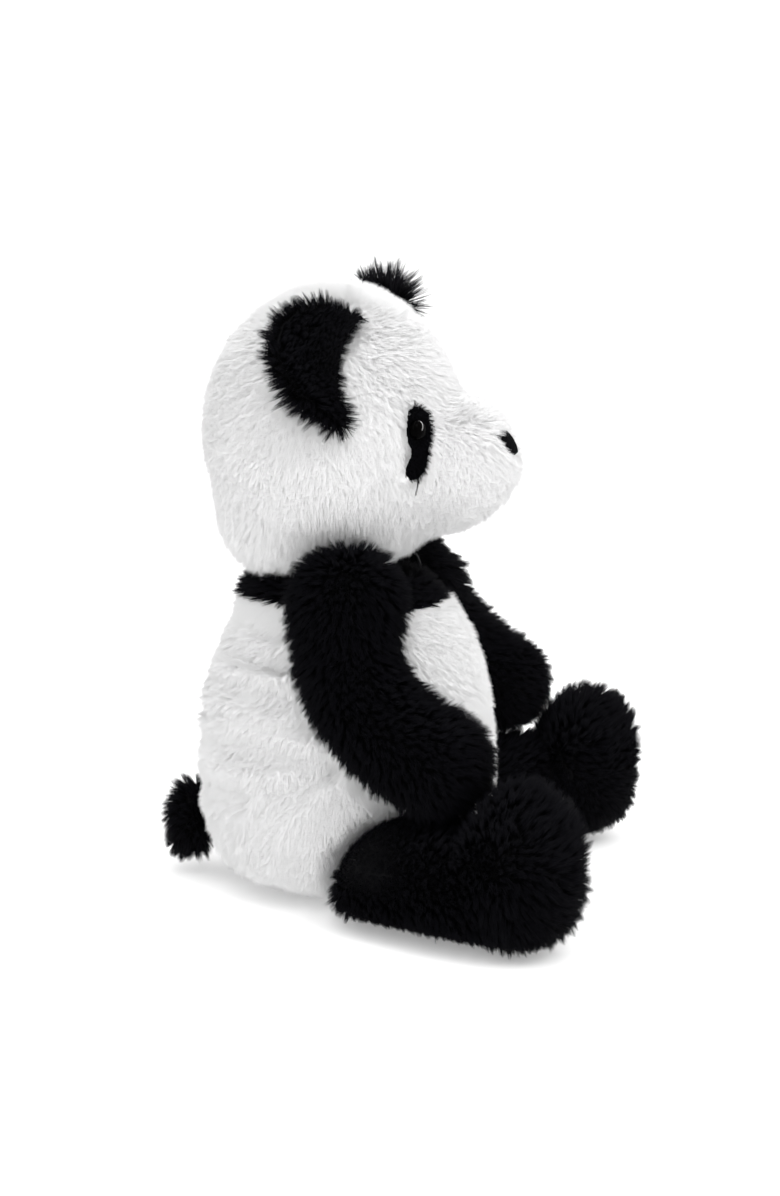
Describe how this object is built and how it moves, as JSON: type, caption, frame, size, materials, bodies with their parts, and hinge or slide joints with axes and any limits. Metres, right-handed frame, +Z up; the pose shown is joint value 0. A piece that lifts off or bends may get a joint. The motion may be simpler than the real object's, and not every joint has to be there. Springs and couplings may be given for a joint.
{
  "type": "plush panda",
  "caption": "Sitting plush panda with sewn white and black long-pile panels, cupped ears, safety eyes, a stitched nose and floppy stuffed limbs.",
  "frame": {"origin": "middle of the object's outline on the surface that it sits on", "axes": "+Z up, the panda faces -Y, its left side is at +X"},
  "size_m": [0.2514, 0.2234, 0.297],
  "materials": {
    "white_plush": "matte",
    "black_plush": "matte",
    "short_plush": "matte",
    "nose_thread": "satin",
    "eye_plastic": "polished",
    "washer_plastic": "satin",
    "fibre": "matte",
    "seam_thread": "satin"
  },
  "bodies": {
    "torso": {"belly_panel": "white_plush", "back_panel_left": "white_plush", "back_panel_right": "white_plush", "seat_panel": "white_plush", "yoke_front": "black_plush", "yoke_back_left": "black_plush", "yoke_back_right": "black_plush", "body_stuffing": "fibre"},
    "neck": {"neck_stuffing": "fibre"},
    "neck_seam_ring": {"neck_seam": "seam_thread"},
    "head": {"head_gusset": "white_plush", "head_back": "white_plush", "chin_panel": "white_plush", "muzzle_left": "white_plush", "muzzle_right": "white_plush", "head_side_left": "white_plush", "head_side_right": "white_plush", "head_stuffing": "fibre", "eye_patch_left": "short_plush", "eye_patch_right": "short_plush", "eye_left": "eye_plastic", "eye_right": "eye_plastic", "eye_washer_left": "washer_plastic", "eye_washer_right": "washer_plastic", "nose": "nose_thread"},
    "shoulder_left": {"shoulder_seam_left": "seam_thread"},
    "arm_left": {"arm_left_outer": "black_plush", "arm_left_inner": "black_plush", "arm_stuffing_left": "fibre"},
    "leg_left": {"leg_left_outer": "black_plush", "leg_left_inner": "black_plush", "foot_sole_left": "black_plush", "leg_stuffing_left": "fibre"},
    "ear_left": {"ear_left_front": "black_plush", "ear_left_back": "black_plush"},
    "shoulder_right": {"shoulder_seam_right": "seam_thread"},
    "arm_right": {"arm_right_outer": "black_plush", "arm_right_inner": "black_plush", "arm_stuffing_right": "fibre"},
    "leg_right": {"leg_right_outer": "black_plush", "leg_right_inner": "black_plush", "foot_sole_right": "black_plush", "leg_stuffing_right": "fibre"},
    "ear_right": {"ear_right_front": "black_plush", "ear_right_back": "black_plush"},
    "tail": {"tail_upper": "black_plush", "tail_lower": "black_plush", "tail_stuffing": "fibre"}
  },
  "joints": [
    {"name": "neck_turn", "type": "hinge", "parent": "torso", "child": "neck", "pos_m": [0, 0.023, 0.16], "axis": [0, 0, 1], "range_deg": [-35, 35], "stiffness_Nm_per_rad": 0.6},
    {"name": "neck_nod", "type": "hinge", "parent": "neck", "child": "neck_seam_ring", "pos_m": [0, 0.023, 0.16], "axis": [-1, 0, 0], "range_deg": [-10, 14], "stiffness_Nm_per_rad": 1.2},
    {"name": "head_tilt", "type": "hinge", "parent": "neck_seam_ring", "child": "head", "pos_m": [0, 0.023, 0.16], "axis": [0, 1, 0], "range_deg": [-7, 7], "stiffness_Nm_per_rad": 1.2},
    {"name": "shoulder_swing_left", "type": "hinge", "parent": "torso", "child": "shoulder_left", "pos_m": [0.0605, 0.005, 0.152], "axis": [-1, 0, 0], "range_deg": [0, 75], "stiffness_Nm_per_rad": 0.25},
    {"name": "shoulder_spread_left", "type": "hinge", "parent": "shoulder_left", "child": "arm_left", "pos_m": [0.0605, 0.005, 0.152], "axis": [0, -0.8102, 0.5861], "range_deg": [0, 40], "stiffness_Nm_per_rad": 0.25},
    {"name": "hip_spread_left", "type": "hinge", "parent": "torso", "child": "leg_left", "pos_m": [0.072, -0.02, 0.029], "axis": [0, 0, 1], "range_deg": [-4, 18], "stiffness_Nm_per_rad": 0.3},
    {"name": "ear_fold_left", "type": "hinge", "parent": "head", "child": "ear_left", "pos_m": [0.05889, 0.0085, 0.262], "axis": [0.5, 0, -0.866], "range_deg": [-8, 12], "stiffness_Nm_per_rad": 0.03},
    {"name": "shoulder_swing_right", "type": "hinge", "parent": "torso", "child": "shoulder_right", "pos_m": [-0.0605, 0.005, 0.152], "axis": [-1, 0, 0], "range_deg": [0, 75], "stiffness_Nm_per_rad": 0.25},
    {"name": "shoulder_spread_right", "type": "hinge", "parent": "shoulder_right", "child": "arm_right", "pos_m": [-0.0605, 0.005, 0.152], "axis": [0, 0.8102, -0.5861], "range_deg": [0, 40], "stiffness_Nm_per_rad": 0.25},
    {"name": "hip_spread_right", "type": "hinge", "parent": "torso", "child": "leg_right", "pos_m": [-0.072, -0.02, 0.029], "axis": [0, 0, -1], "range_deg": [-4, 18], "stiffness_Nm_per_rad": 0.3},
    {"name": "ear_fold_right", "type": "hinge", "parent": "head", "child": "ear_right", "pos_m": [-0.05889, 0.0085, 0.262], "axis": [0.5, 0, 0.866], "range_deg": [-8, 12], "stiffness_Nm_per_rad": 0.03},
    {"name": "tail_wag", "type": "hinge", "parent": "torso", "child": "tail", "pos_m": [0, 0.0893, 0.0275], "axis": [0, 0, 1], "range_deg": [-15, 15], "stiffness_Nm_per_rad": 0.05}
  ]
}
